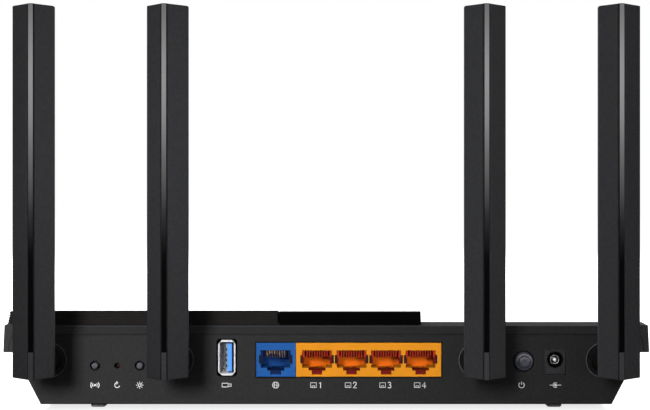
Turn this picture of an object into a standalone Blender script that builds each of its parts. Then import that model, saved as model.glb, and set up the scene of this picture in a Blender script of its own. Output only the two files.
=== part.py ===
"""Desktop wireless router with four folding antennas.

World frame: +Z is up, +Y points to the router's front, the connector wall faces -Y, and +X is to
the right for someone who looks at the connector wall. The origin is the bottom centre of the
whole object's box.

Everything is drawn in the case's own frame, (x, d, h) in millimetres: d is the distance in front
of the connector wall and h the height above the case's underside. The empty "case_frame" carries
that frame to its place, and MM turns millimetres into metres as each mesh is made.
"""

import math

import bmesh
import bpy

MM = 0.001

# Case
CASE_HALF_WIDTH = 130.75
CASE_DEPTH = 135.0
UNDERSIDE = -0.3
FOOT_HEIGHT = 2.1
WALL = 2.0
CLEARANCE = 0.3
TOP_SLOPE = 0.1228
SKIRT_REAR_HEIGHT = 20.65
SKIRT_LEAN = 0.045
SEAM_HEIGHT = 27.6
CREST_DISTANCE = 8.0
CREST_HEIGHT = 32.05
EAR_HEIGHT = 31.65
EAR_INNER = 126.0
INNER_HALF_WIDTH = 126.8
TRAY_HALF_WIDTH = 126.4
TRAY_SIDE_SLANT = 0.522
TRAY_CHIN_START = 122.0
TRAY_FRONT = 131.5
TRAY_CHIN_RISE = 3.0

# The bevel between the seam and the crest, as (d, h)
BEVEL_FOOT = (0.0, 28.0)
BEVEL_HEAD = (3.5, 30.8)

# Raised top panels
DECK_TOP = 36.85
DECK_SLOPE = 0.15
DECK_LEFT = -130.4
DECK_LEAN = 0.18
DECK_RIGHT = -19.65
GLOSS_LEFT = -19.15
GLOSS_RIGHT = 38.75
GLOSS_LEAN = 0.04
PANEL_GAP = 0.35
PANEL_SKIN = 1.6
POCKET_FRONT = 100.0
LENS_DISTANCE = 116.0
LENS_HALF_WIDTH = 14.0
LENS_LENGTH = 2.0

# Antennas, counted from left to right
ANTENNA_X = (-112.15, -60.75, 60.75, 112.15)
PIVOT_HEIGHT = 17.5
HINGE_REACH = 16.5
BLADE_HALF_WIDTH = 7.9
BLADE_EDGE = 21.8
BLADE_EDGE_THICKNESS = 2.0
BLADE_BACK = 12.5
BLADE_BACK_HALF_WIDTH = 5.2
BLADE_RIDGE = 23.6
BLADE_BOTTOM = -3.4
BLADE_TOP = 138.9
RIDGE_OVERHANG = 0.5
STRIP_OFFSET = 0.6
STRIP_HALF_WIDTH = 0.95
STRIP_FRONT = 24.3
STRIP_SPLIT = 6.7
PIN_RADIUS = 1.2
DISC_RADIUS = 6.6

# Connector wall
CONTROL_HEIGHT = 15.2
PAIRING_X = -93.5
RESET_X = -84.5
LIGHTS_X = -75.4
SMALL_HOLE_RADIUS = 2.0
RESET_HOLE_RADIUS = 1.2
POWER_HOLE_RADIUS = 4.3
USB_X = -40.2
USB_HEIGHT = 18.4
JACK_BOTTOM = 10.4
JACK_TOP = 24.75
WAN_LEFT = -28.5
JACK_SPLIT = -12.3
LAN_RIGHT = 46.7
WAN_PORT_X = -20.45
LAN_FIRST_X = -3.7
PORT_PITCH = 13.97
LAN_PORTS = 4
JACK_DEPTH = 16.0
PORT_DEPTH = 12.0
POWER_X = 79.8
POWER_HEIGHT = 17.0
DC_LEFT = 88.05
DC_RIGHT = 97.1
DC_BOTTOM = 11.3
DC_TOP = 22.0
DC_HOLE_X = 92.65
DC_HOLE_HEIGHT = 17.5
DC_HOLE_RADIUS = 3.25

# Inside
BOARD_BOTTOM = 6.9
BOARD_TOP = 8.5
SCREW_X = 104.0
SCREW_DISTANCES = {"rear": 30.0, "front": 98.0}
FOOT_X = 93.0
FOOT_DISTANCES = {"rear": 12.0, "front": 112.0}
FOOT_HALF_WIDTH = 3.0
FOOT_HALF_LENGTH = 9.0
FOOT_CORNER = 1.0
FOOT_SEAT = 0.5
LEAD_RADIUS = 0.7

OBJECT_REAR = -STRIP_FRONT
WALL_Y = -(OBJECT_REAR + CASE_DEPTH) / 2

SIDES = (("left", -1), ("right", 1))
BEYOND = 20.0


# ---------------------------------------------------------------------------------- shapes

def loft(rings):
    """A closed solid through rings of equal point count, with a flat cap at each end."""
    count = len(rings[0])
    points = [point for ring in rings for point in ring]
    faces = [tuple(range(count)), tuple(range(len(points) - count, len(points)))]
    for start in range(0, len(points) - count, count):
        for i in range(count):
            j = (i + 1) % count
            faces.append((start + i, start + j, start + count + j, start + count + i))
    return points, faces


def prism(outline, axis, low, high):
    """An outline of two coordinates pushed along the third axis."""
    def place(point, along):
        point = list(point)
        point.insert("XYZ".index(axis), along)
        return tuple(point)
    return loft([[place(point, along) for point in outline] for along in (low, high)])


def box(low, high):
    outline = [(low[0], low[1]), (high[0], low[1]), (high[0], high[1]), (low[0], high[1])]
    return prism(outline, "Z", low[2], high[2])


def circle(radius, sides, centre=(0.0, 0.0)):
    turn = 2 * math.pi / sides
    return [(centre[0] + radius * math.cos(i * turn), centre[1] + radius * math.sin(i * turn))
            for i in range(sides)]


def turned(profile, axis, centre=(0.0, 0.0), sides=32):
    """A solid of revolution: profile is a list of (radius, place along the axis)."""
    def ring(radius, along):
        points = []
        for point in circle(radius, sides, centre):
            point = list(point)
            point.insert("XYZ".index(axis), along)
            points.append(tuple(point))
        return points
    return loft([ring(radius, along) for radius, along in profile])


def rounded_rectangle(half_width, half_height, radius, centre=(0.0, 0.0), steps=4):
    points = []
    for quarter, (sx, sy) in enumerate(((1, 1), (-1, 1), (-1, -1), (1, -1))):
        for step in range(steps + 1):
            angle = math.pi / 2 * (quarter + step / steps)
            points.append((centre[0] + sx * (half_width - radius) + radius * math.cos(angle),
                           centre[1] + sy * (half_height - radius) + radius * math.sin(angle)))
    return points


def moved(shape, offset):
    points, faces = shape
    return [tuple(a + b for a, b in zip(point, offset)) for point in points], faces


def together(shapes):
    """Several shapes that don't touch, as one mesh."""
    points, faces = [], []
    for shape_points, shape_faces in shapes:
        start = len(points)
        points += shape_points
        faces += [tuple(start + i for i in face) for face in shape_faces]
    return points, faces


# --------------------------------------------------------------------------------- objects

def new_material(name, colour, roughness, metallic=0.0):
    material = bpy.data.materials.new(name)
    material.use_nodes = True
    shader = material.node_tree.nodes["Principled BSDF"]
    shader.inputs["Base Color"].default_value = (*colour, 1.0)
    shader.inputs["Roughness"].default_value = roughness
    shader.inputs["Metallic"].default_value = metallic
    return material


def add_empty(name, place, parent=None):
    empty = bpy.data.objects.new(name, None)
    empty.location = [coordinate * MM for coordinate in place]
    empty.parent = parent
    bpy.context.scene.collection.objects.link(empty)
    return empty


def add_mesh(name, shape, parent):
    points, faces = shape
    mesh = bpy.data.meshes.new(name)
    mesh.from_pydata([tuple(c * MM for c in point) for point in points], [], faces)
    work = bmesh.new()
    work.from_mesh(mesh)
    bmesh.ops.recalc_face_normals(work, faces=work.faces)
    work.to_mesh(mesh)
    work.free()
    mesh.shade_smooth()
    mesh.set_sharp_from_angle(angle=math.radians(35))
    made = bpy.data.objects.new(name, mesh)
    made.parent = parent
    bpy.context.scene.collection.objects.link(made)
    return made


def add_boolean(target, shape, operation, label):
    """Cut a shape from the target or join it on, with the shape kept as a hidden guide."""
    guide = add_mesh(target.name + "_" + label, shape, target.parent)
    guide.hide_render = True
    guide.display_type = "WIRE"
    modifier = target.modifiers.new(label, "BOOLEAN")
    modifier.operation = operation
    modifier.solver = "EXACT"
    modifier.object = guide


def add_part(name, shape, material, parent, bevel=0.0, joins=(), cuts=()):
    part = add_mesh(name, shape, parent)
    part.data.materials.append(material)
    if bevel:
        modifier = part.modifiers.new("rounded_edges", "BEVEL")
        modifier.width = bevel * MM
        modifier.segments = 2
        modifier.limit_method = "ANGLE"
        modifier.angle_limit = math.radians(36)
    for number, joined in enumerate(joins):
        add_boolean(part, joined, "UNION", "join_%d" % number)
    for number, cut in enumerate(cuts):
        add_boolean(part, cut, "DIFFERENCE", "cut_%d" % number)
    return part


# -------------------------------------------------------------------------------- the case

def skirt_bottom(d):
    """Height of the top cover's lower side edge, which falls towards the front."""
    return SKIRT_REAR_HEIGHT - TOP_SLOPE * d


def crest_line(d):
    """Height of the top cover's upper surface in front of its crest."""
    return CREST_HEIGHT - TOP_SLOPE * (d - CREST_DISTANCE)


def make_top_cover(case, material):
    """The cover: full height at its two ears, and beveled down to the seam between them."""
    nose = CASE_DEPTH - 4.0
    outline = [(0.0, SKIRT_REAR_HEIGHT), (0.0, EAR_HEIGHT),
               (CREST_DISTANCE, CREST_HEIGHT), (nose, crest_line(nose)),
               (CASE_DEPTH, crest_line(nose) - 3.7),
               (CASE_DEPTH - 0.6, skirt_bottom(CASE_DEPTH - 0.6))]

    def side(d, h, sign):
        return (sign * (CASE_HALF_WIDTH - SKIRT_LEAN * (h - skirt_bottom(d))), d, h)

    shell = loft([[side(d, h, sign) for d, h in outline] for sign in (-1, 1)])
    ceiling_front = CASE_DEPTH - 4.8
    hollow = [(-BEYOND, -BEYOND), (-BEYOND, SEAM_HEIGHT), (2.3, SEAM_HEIGHT), (4.6, 28.9),
              (CREST_DISTANCE + 0.4, CREST_HEIGHT - WALL),
              (ceiling_front, crest_line(ceiling_front) - WALL),
              (CASE_DEPTH - WALL, crest_line(nose) - 4.6), (CASE_DEPTH - WALL - 0.5, -BEYOND)]
    above = CREST_HEIGHT + BEYOND
    bevel = [(-BEYOND, BEVEL_FOOT[1]), BEVEL_FOOT, BEVEL_HEAD, (CREST_DISTANCE, CREST_HEIGHT),
             (CREST_DISTANCE, above), (-BEYOND, above)]
    bosses = []
    screw_holes = []
    for distance in SCREW_DISTANCES.values():
        for _, sign in SIDES:
            centre = (sign * SCREW_X, distance)
            roof = crest_line(distance) - WALL / 2
            bosses.append(turned([(3.0, 3.2), (3.0, roof)], "Z", centre, 24))
            screw_holes.append(turned([(1.6, -BEYOND), (1.6, 12.0)], "Z", centre, 16))
    cover = add_part("top_cover", shell, material, case, bevel=0.4,
                     cuts=[prism(hollow, "X", -INNER_HALF_WIDTH, INNER_HALF_WIDTH),
                           prism(bevel, "X", -EAR_INNER, EAR_INNER)])
    add_boolean(cover, together(bosses), "UNION", "bosses")
    add_boolean(cover, together(screw_holes), "DIFFERENCE", "screw_holes")


def tray_ring(d, inset, underside, top):
    seam = skirt_bottom(d) + CLEARANCE
    wide = TRAY_HALF_WIDTH - inset
    narrow = wide - TRAY_SIDE_SLANT * (seam - underside)
    right = [(narrow, underside), (wide, seam), (wide, top)]
    return [(x, d, h) for x, h in right] + [(-x, d, h) for x, h in reversed(right)]


def make_bottom_housing(case, material):
    def top(d):
        return crest_line(max(d, CREST_DISTANCE)) - WALL - 1.0

    back = WALL + CLEARANCE
    outer = loft([tray_ring(back, 0.0, UNDERSIDE, SEAM_HEIGHT - CLEARANCE),
                  tray_ring(CREST_DISTANCE, 0.0, UNDERSIDE, top(CREST_DISTANCE)),
                  tray_ring(TRAY_CHIN_START, 0.0, UNDERSIDE, top(TRAY_CHIN_START)),
                  tray_ring(TRAY_FRONT, 0.0, TRAY_CHIN_RISE, top(TRAY_FRONT))])
    hollow = loft([tray_ring(-BEYOND, WALL, WALL, 60.0),
                   tray_ring(TRAY_CHIN_START, WALL, WALL, 60.0),
                   tray_ring(TRAY_FRONT - WALL, WALL, TRAY_CHIN_RISE + 1.4, 60.0)])
    recesses = []
    for distance in FOOT_DISTANCES.values():
        for _, sign in SIDES:
            recesses.append(loft([foot_ring(sign, distance, CLEARANCE, -BEYOND),
                                  foot_ring(sign, distance, CLEARANCE,
                                            FOOT_SEAT + CLEARANCE)]))
    for distance in SCREW_DISTANCES.values():
        for _, sign in SIDES:
            recesses.append(turned([(2.9, -BEYOND), (2.9, 1.3), (1.6, 1.3), (1.6, WALL + 1.0)],
                                   "Z", (sign * SCREW_X, distance), 24))
    add_part("bottom_housing", outer, material, case, bevel=0.5,
             cuts=[hollow, together(recesses)])


def foot_ring(sign, distance, growth, level):
    """One foot's outline at a level, grown by a distance all round."""
    outline = rounded_rectangle(FOOT_HALF_WIDTH + growth, FOOT_HALF_LENGTH + growth, FOOT_CORNER,
                                (sign * FOOT_X, distance))
    return [(x, d, level) for x, d in outline]


def make_feet(case, material):
    chamfer = 0.4
    for place, distance in FOOT_DISTANCES.items():
        for side, sign in SIDES:
            foot = loft([foot_ring(sign, distance, -chamfer, -FOOT_HEIGHT),
                         foot_ring(sign, distance, 0.0, -FOOT_HEIGHT + chamfer),
                         foot_ring(sign, distance, 0.0, FOOT_SEAT)])
            add_part("foot_%s_%s" % (place, side), foot, material, case)


def make_screws(case, material):
    for place, distance in SCREW_DISTANCES.items():
        for side, sign in SIDES:
            profile = [(2.3, 0.1), (2.6, 0.4), (2.6, 1.0), (1.3, 1.0), (1.3, 11.0), (0.6, 11.6)]
            screw = turned(profile, "Z", (sign * SCREW_X, distance), 16)
            drive = box((sign * SCREW_X - 1.4, distance - 0.3, -1.0),
                        (sign * SCREW_X + 1.4, distance + 0.3, 0.6))
            add_part("case_screw_%s_%s" % (place, side), screw, material, case, cuts=[drive])


def port_outline(centre_x):
    """A modular jack's mouth: contacts at the top, latch steps below, a relief at each side."""
    right = [(6.0, 21.35), (6.0, 19.5), (6.6, 19.5), (6.6, 16.1), (6.0, 16.1), (6.0, 14.35),
             (3.45, 14.35), (3.45, 13.2), (2.1, 13.2), (2.1, 11.6)]
    left = [(-x, h) for x, h in reversed(right)]
    return [(centre_x + x, h) for x, h in right + left]


def lan_port_centres():
    return [LAN_FIRST_X + PORT_PITCH * i for i in range(LAN_PORTS)]


def make_rear_panel(case, material):
    wide = TRAY_HALF_WIDTH
    seam = SKIRT_REAR_HEIGHT
    narrow = wide - TRAY_SIDE_SLANT * (seam - UNDERSIDE)
    outline = [(narrow, UNDERSIDE), (wide, seam), (wide, SEAM_HEIGHT - CLEARANCE),
               (-wide, SEAM_HEIGHT - CLEARANCE), (-wide, seam), (-narrow, UNDERSIDE)]

    def round_hole(x, height, radius, sides=32):
        return turned([(radius, -BEYOND), (radius, BEYOND)], "Y", (x, height), sides)

    holes = [round_hole(x, PIVOT_HEIGHT, DISC_RADIUS + CLEARANCE, 48) for x in ANTENNA_X]
    holes.append(round_hole(PAIRING_X, CONTROL_HEIGHT, SMALL_HOLE_RADIUS))
    holes.append(round_hole(LIGHTS_X, CONTROL_HEIGHT, SMALL_HOLE_RADIUS))
    holes.append(round_hole(RESET_X, CONTROL_HEIGHT, RESET_HOLE_RADIUS, 16))
    holes.append(round_hole(POWER_X, POWER_HEIGHT, POWER_HOLE_RADIUS))
    usb = rounded_rectangle(4.15, 7.7, 1.6, (USB_X, USB_HEIGHT))
    holes.append(prism(usb, "Y", -BEYOND, BEYOND))
    holes.append(box((WAN_LEFT, -BEYOND, JACK_BOTTOM), (LAN_RIGHT, BEYOND, JACK_TOP)))
    holes.append(box((DC_LEFT, -BEYOND, DC_BOTTOM), (DC_RIGHT, BEYOND, DC_TOP)))
    add_part("rear_panel", prism(outline, "Y", 0.0, WALL), material, case, bevel=0.4,
             cuts=[together(holes)])


def panel_top(d):
    """Height of the raised panels' upper surface."""
    return DECK_TOP - DECK_SLOPE * (d - 5.0)


def panel_outline(rear, front):
    """A raised panel's side view, from its rear face round its top to its underside."""
    return rear + [(front, panel_top(front)), (front, crest_line(front) + PANEL_GAP),
                   (CREST_DISTANCE + 0.2, CREST_HEIGHT + PANEL_GAP)]


def panel_pocket(start, left, right):
    """The hollow underneath a raised panel."""
    top = start + 0.2
    outline = [(start, 0.0), (top, panel_top(top) - PANEL_SKIN),
               (POCKET_FRONT, panel_top(POCKET_FRONT) - PANEL_SKIN), (POCKET_FRONT, 0.0)]
    return prism(outline, "X", left, right)


def make_ribbed_deck(case, material):
    outline = panel_outline([(4.4, 31.4), (5.0, DECK_TOP)], 128.0)
    ends = [[(DECK_LEFT + DECK_LEAN * (h - crest_line(d)), d, h) for d, h in outline],
            [(DECK_RIGHT, d, h) for d, h in outline]]
    past_ear = CREST_DISTANCE + CLEARANCE
    over_ear = [(0.0, 0.0), (past_ear, 0.0), (past_ear, CREST_HEIGHT + PANEL_GAP),
                (0.0, EAR_HEIGHT + PANEL_GAP)]
    add_part("ribbed_deck", loft(ends), material, case, bevel=0.4,
             cuts=[panel_pocket(6.4, DECK_LEFT + 2.6, DECK_RIGHT - WALL),
                   prism(over_ear, "X", DECK_LEFT - BEYOND, CLEARANCE - EAR_INNER)])


def make_gloss_panel(case, material, lens_material):
    rear = 3.9
    outline = panel_outline([(rear, 31.25), (rear, DECK_TOP - 0.2), (rear + 0.4, DECK_TOP + 0.02)],
                            130.0)
    ends = [[(GLOSS_LEFT, d, h) for d, h in outline],
            [(GLOSS_RIGHT - GLOSS_LEAN * (h - crest_line(d)), d, h) for d, h in outline]]
    lens_x = (GLOSS_LEFT + GLOSS_RIGHT) / 2
    lens_front = LENS_DISTANCE + LENS_LENGTH
    slot = box((lens_x - LENS_HALF_WIDTH, LENS_DISTANCE, 0.0),
               (lens_x + LENS_HALF_WIDTH, lens_front, DECK_TOP))
    add_part("gloss_panel", loft(ends), material, case, bevel=0.3,
             cuts=[panel_pocket(6.2, GLOSS_LEFT + WALL, GLOSS_RIGHT - 2.6), slot])
    lens = box((lens_x - LENS_HALF_WIDTH + CLEARANCE, LENS_DISTANCE + CLEARANCE,
                crest_line(LENS_DISTANCE) + PANEL_GAP),
               (lens_x + LENS_HALF_WIDTH - CLEARANCE, lens_front - CLEARANCE,
                panel_top(lens_front)))
    add_part("indicator_lens", lens, lens_material, case)


# ------------------------------------------------------------------------ inside and sockets

def make_board(case, materials):
    board = box((-99.0, 6.5, BOARD_BOTTOM), (99.0, 106.0, BOARD_TOP))
    add_part("main_board", board, materials["board"], case)
    seat = BOARD_TOP + CLEARANCE
    fins = 11
    half = 38.0
    pitch = 2 * half / (fins - 0.5)
    outline = [(-half, seat), (half, seat)]
    for number in reversed(range(fins)):
        left = -half + number * pitch
        outline += [(left + pitch / 2, 16.5), (left, 16.5)]
        if number:
            outline += [(left, seat + 2.0), (left - pitch / 2, seat + 2.0)]
    add_part("heat_sink", prism(outline, "Y", 26.0, 86.0), materials["aluminium"], case)
    for side, sign in SIDES:
        low, high = sorted((sign * 50.0, sign * 86.0))
        shield = box((low, 40.0, seat), (high, 76.0, seat + 2.4))
        add_part("radio_shield_" + side, shield, materials["tin"], case, bevel=0.4)


def jack_solid(left, right):
    outline = [(0.2, JACK_BOTTOM + CLEARANCE), (WALL + 0.4, JACK_BOTTOM + CLEARANCE),
               (WALL + 0.4, BOARD_TOP + CLEARANCE), (JACK_DEPTH, BOARD_TOP + CLEARANCE),
               (JACK_DEPTH, JACK_TOP - CLEARANCE), (0.2, JACK_TOP - CLEARANCE)]
    return prism(outline, "X", left, right)


def make_network_jacks(case, materials):
    gap = CLEARANCE / 2
    wan_cut = prism(port_outline(WAN_PORT_X), "Y", -BEYOND, PORT_DEPTH)
    add_part("wan_jack", jack_solid(WAN_LEFT + CLEARANCE, JACK_SPLIT - gap),
             materials["blue"], case, cuts=[wan_cut])
    lan_cuts = together([prism(port_outline(x), "Y", -BEYOND, PORT_DEPTH)
                         for x in lan_port_centres()])
    add_part("lan_jack_block", jack_solid(JACK_SPLIT + gap, LAN_RIGHT - CLEARANCE),
             materials["orange"], case, cuts=[lan_cuts])


def make_usb_socket(case, materials):
    def ring(d, half_width, half_height):
        outline = rounded_rectangle(half_width, half_height, 0.8, (USB_X, USB_HEIGHT), 2)
        return [(x, d, h) for x, h in outline]

    outer = loft([ring(0.15, 3.65, 7.35), ring(0.5, 3.65, 7.35), ring(1.6, 3.05, 6.75),
                  ring(14.0, 3.05, 6.75)])
    inner = loft([ring(-5.0, 3.2, 6.9), ring(0.15, 3.2, 6.9), ring(1.4, 2.7, 6.4),
                  ring(13.4, 2.7, 6.4)])
    add_part("usb_shell", outer, materials["steel"], case, cuts=[inner])
    plan = [(-2.35, 9.5), (0.1, 9.5), (0.1, 1.2), (1.95, 1.2), (1.95, 9.5), (2.35, 9.5),
            (2.35, 13.0), (-2.35, 13.0)]
    tongue = prism([(USB_X + x, d) for x, d in plan], "Z", USB_HEIGHT - 5.6, USB_HEIGHT + 5.6)
    add_part("usb_tongue", tongue, materials["usb_blue"], case)


def make_power_socket(case, materials):
    outline = [(0.2, DC_BOTTOM + CLEARANCE), (WALL + 0.4, DC_BOTTOM + CLEARANCE),
               (WALL + 0.4, BOARD_TOP + CLEARANCE), (13.0, BOARD_TOP + CLEARANCE),
               (13.0, DC_TOP - CLEARANCE), (0.2, DC_TOP - CLEARANCE)]
    body = prism(outline, "X", DC_LEFT + CLEARANCE, DC_RIGHT - CLEARANCE)
    centre = (DC_HOLE_X, DC_HOLE_HEIGHT)
    hole = turned([(DC_HOLE_RADIUS, -BEYOND), (DC_HOLE_RADIUS, 10.0)], "Y", centre)
    add_part("dc_jack", body, materials["jack_black"], case, cuts=[hole])
    pin = turned([(0.5, 1.2), (1.0, 1.9), (1.0, 9.7)], "Y", centre, 16)
    add_part("dc_centre_pin", pin, materials["steel"], case)


def make_switches(case, materials):
    seat = BOARD_TOP + CLEARANCE
    places = {"pairing_switch": (PAIRING_X, 6.1), "lights_switch": (LIGHTS_X, 6.1),
              "reset_switch": (RESET_X, 5.4)}
    for name, (x, front) in places.items():
        body = box((x - 3.0, front, seat), (x + 3.0, front + 3.6, CONTROL_HEIGHT + 3.0))
        add_part(name, body, materials["jack_black"], case)
    body = box((POWER_X - 4.0, 7.9, seat), (POWER_X + 4.0, 16.0, POWER_HEIGHT + 4.0))
    add_part("power_switch", body, materials["jack_black"], case)


def make_buttons(case, materials):
    """Each button slides along Y; its flange stops it behind the connector wall."""
    small = [(0.9, -0.7), (1.25, -0.45), (1.35, 0.0), (1.35, 2.3), (2.4, 2.3), (2.4, 3.3),
             (1.0, 3.3), (1.0, 5.0)]
    large = [(2.1, -2.3), (2.6, -2.1), (2.85, -1.6), (3.55, -1.2), (3.95, -0.6), (3.95, 2.3),
             (4.9, 2.3), (4.9, 3.3), (1.6, 3.3), (1.6, 6.0)]
    plunger = [(0.7, 2.4), (1.0, 2.7), (1.0, 4.7)]
    places = {"pairing_button": (PAIRING_X, CONTROL_HEIGHT, small, 24),
              "lights_button": (LIGHTS_X, CONTROL_HEIGHT, small, 24),
              "power_button": (POWER_X, POWER_HEIGHT, large, 32),
              "reset_plunger": (RESET_X, CONTROL_HEIGHT, plunger, 16)}
    for name, (x, height, profile, sides) in places.items():
        axis = add_empty(name + "_axis", (x, 0.0, height), case)
        add_part(name, turned(profile, "Y", sides=sides), materials["button"], axis)


# -------------------------------------------------------------------------------- antennas

def swivel_shape():
    """The turned base: a flange behind the wall, the disc in its hole, and a tapered neck."""
    return turned([(3.4, 6.0), (4.0, 5.6), (4.0, 4.0), (8.4, 4.0), (8.4, 2.4),
                   (DISC_RADIUS, 2.4), (DISC_RADIUS, 0.6), (5.2, 0.6), (4.6, -1.0),
                   (4.4, -9.5)], "Y", sides=48)


def tongue_shape():
    radius = 3.6
    steps = 12
    outline = [(-9.0, -radius), (-9.0, radius)]
    for step in range(steps + 1):
        angle = math.pi / 2 + math.pi * step / steps
        outline.append((-HINGE_REACH + radius * math.cos(angle), radius * math.sin(angle)))
    return prism(outline, "X", -3.0, 3.0)


def blade_section(outward):
    """Half-back outline of the blade from one wide edge round its back to the other."""
    edge_back = BLADE_EDGE - BLADE_EDGE_THICKNESS
    back = [(-BLADE_HALF_WIDTH, -BLADE_EDGE), (-BLADE_HALF_WIDTH, -edge_back),
            (-BLADE_BACK_HALF_WIDTH, -BLADE_BACK), (BLADE_BACK_HALF_WIDTH, -BLADE_BACK),
            (BLADE_HALF_WIDTH, -edge_back), (BLADE_HALF_WIDTH, -BLADE_EDGE)]
    centre = outward * STRIP_OFFSET
    ridge = [(centre + STRIP_HALF_WIDTH, -BLADE_RIDGE), (centre - STRIP_HALF_WIDTH, -BLADE_RIDGE)]
    return back, ridge


def blade_shape(outward):
    """The long blade, closed flat at each end, with its front ridge running past the ends."""
    back, ridge = blade_section(outward)
    points = []
    for end, past in ((BLADE_BOTTOM, -RIDGE_OVERHANG), (BLADE_TOP, RIDGE_OVERHANG)):
        points += [(x, y, end) for x, y in back]
        points += [(x, y, end + past) for x, y in ridge]
    count = len(back) + len(ridge)
    faces = []
    for start in (0, count):
        faces.append(tuple(start + i for i in range(len(back))))
        faces.append((start + 5, start + 6, start + 7, start))
    for i in range(count):
        j = (i + 1) % count
        faces.append((i, j, count + j, count + i))
    return points, faces


def strip_shape(outward, low, high):
    centre = outward * STRIP_OFFSET
    return box((centre - STRIP_HALF_WIDTH, -STRIP_FRONT, low),
               (centre + STRIP_HALF_WIDTH, -BLADE_RIDGE - CLEARANCE, high))


def make_antenna(number, x, case, materials):
    """One antenna: it turns about Y where it meets the wall, and folds about its hinge's X axis."""
    outward = -1 if x < 0 else 1
    name = "antenna_%d_" % number
    swivel_axis = add_empty(name + "swivel_axis", (x, 0.0, PIVOT_HEIGHT), case)
    hinge_axis = add_empty(name + "hinge_axis", (0.0, -HINGE_REACH, 0.0), swivel_axis)
    to_hinge = (0.0, HINGE_REACH, 0.0)
    pin_hole = turned([(PIN_RADIUS + CLEARANCE, -5.7), (PIN_RADIUS + CLEARANCE, 5.7)], "X",
                      (-HINGE_REACH, 0.0), 24)
    add_part(name + "swivel", swivel_shape(), materials["base"], swivel_axis,
             joins=[tongue_shape()], cuts=[pin_hole])
    pin = turned([(PIN_RADIUS, -5.3), (PIN_RADIUS, 5.3)], "X", (-HINGE_REACH, 0.0), 24)
    add_part(name + "hinge_pin", pin, materials["steel"], swivel_axis)
    slot = box((-3.4, -HINGE_REACH - 4.2, -BEYOND), (3.4, 5.0, 4.4))
    add_part(name + "blade", moved(blade_shape(outward), to_hinge), materials["blade"], hinge_axis,
             bevel=0.35, cuts=[moved(slot, to_hinge), moved(pin_hole, to_hinge)])
    gloss = strip_shape(outward, STRIP_SPLIT + CLEARANCE / 2, BLADE_TOP + RIDGE_OVERHANG)
    add_part(name + "strip", moved(gloss, to_hinge), materials["gloss"], hinge_axis)
    matte = strip_shape(outward, BLADE_BOTTOM - RIDGE_OVERHANG, STRIP_SPLIT - CLEARANCE / 2)
    add_part(name + "base_strip", moved(matte, to_hinge), materials["base"], hinge_axis)


def smooth_route(route, steps):
    """Catmull-Rom points through a route."""
    ends = [route[0], *route, route[-1]]
    points = []
    for a, b, c, d in zip(ends, ends[1:], ends[2:], ends[3:]):
        for step in range(steps):
            t = step / steps
            points.append(tuple(
                0.5 * (2 * q + (r - p) * t + (2 * p - 5 * q + 4 * r - s) * t ** 2
                       + (3 * q - p - 3 * r + s) * t ** 3)
                for p, q, r, s in zip(a, b, c, d)))
    points.append(route[-1])
    return points


def make_leads(case, material):
    """The coaxial lead of each antenna, from behind its swivel to the nearer radio shield."""
    level = BOARD_TOP + 1.3
    inner = [(60.55, 6.4, 17.5), (60.55, 12.0, 17.2), (60.5, 20.0, 13.5), (60.2, 28.0, 10.6),
             (60.0, 34.0, level), (60.0, 39.6, level)]
    outer = [(111.7, 6.4, 17.5), (111.4, 12.0, 17.2), (107.0, 20.0, 14.2), (97.0, 25.5, 11.4),
             (85.0, 30.0, level + 0.2), (77.5, 34.0, level), (75.0, 39.6, level)]
    for number, (route, sign) in enumerate(((outer, -1), (inner, -1), (inner, 1), (outer, 1)), 1):
        curve = bpy.data.curves.new("antenna_lead_%d" % number, "CURVE")
        curve.dimensions = "3D"
        curve.bevel_depth = LEAD_RADIUS * MM
        curve.bevel_resolution = 2
        curve.render_resolution_u = 0
        curve.use_fill_caps = True
        points = smooth_route([(sign * x, d, h) for x, d, h in route], 4)
        spline = curve.splines.new("POLY")
        spline.points.add(len(points) - 1)
        for target, point in zip(spline.points, points):
            target.co = (*(c * MM for c in point), 1.0)
        curve.materials.append(material)
        lead = bpy.data.objects.new("antenna_lead_%d" % number, curve)
        lead.parent = case
        bpy.context.scene.collection.objects.link(lead)


# ------------------------------------------------------------------------------ the router

def make_materials():
    return {
        "case": new_material("matte_charcoal", (0.035, 0.036, 0.038), 0.55),
        "deck": new_material("matte_black", (0.02, 0.02, 0.022), 0.6),
        "gloss": new_material("gloss_black", (0.004, 0.004, 0.005), 0.08),
        "blade": new_material("antenna_charcoal", (0.033, 0.034, 0.037), 0.5),
        "base": new_material("antenna_base", (0.045, 0.046, 0.05), 0.5),
        "button": new_material("button_black", (0.05, 0.05, 0.055), 0.45),
        "rubber": new_material("foot_rubber", (0.015, 0.015, 0.015), 0.85),
        "blue": new_material("wan_blue", (0.02, 0.16, 0.6), 0.35),
        "orange": new_material("lan_orange", (0.95, 0.36, 0.02), 0.35),
        "usb_blue": new_material("usb_blue", (0.1, 0.32, 0.85), 0.35),
        "jack_black": new_material("jack_black", (0.012, 0.012, 0.013), 0.4),
        "steel": new_material("steel", (0.62, 0.62, 0.64), 0.25, 1.0),
        "tin": new_material("tinned_shield", (0.6, 0.6, 0.58), 0.35, 1.0),
        "aluminium": new_material("aluminium", (0.75, 0.75, 0.77), 0.35, 1.0),
        "board": new_material("board_green", (0.02, 0.12, 0.05), 0.5),
        "lens": new_material("lens_smoke", (0.2, 0.22, 0.24), 0.2),
        "lead": new_material("lead_black", (0.02, 0.02, 0.02), 0.5),
    }


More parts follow.
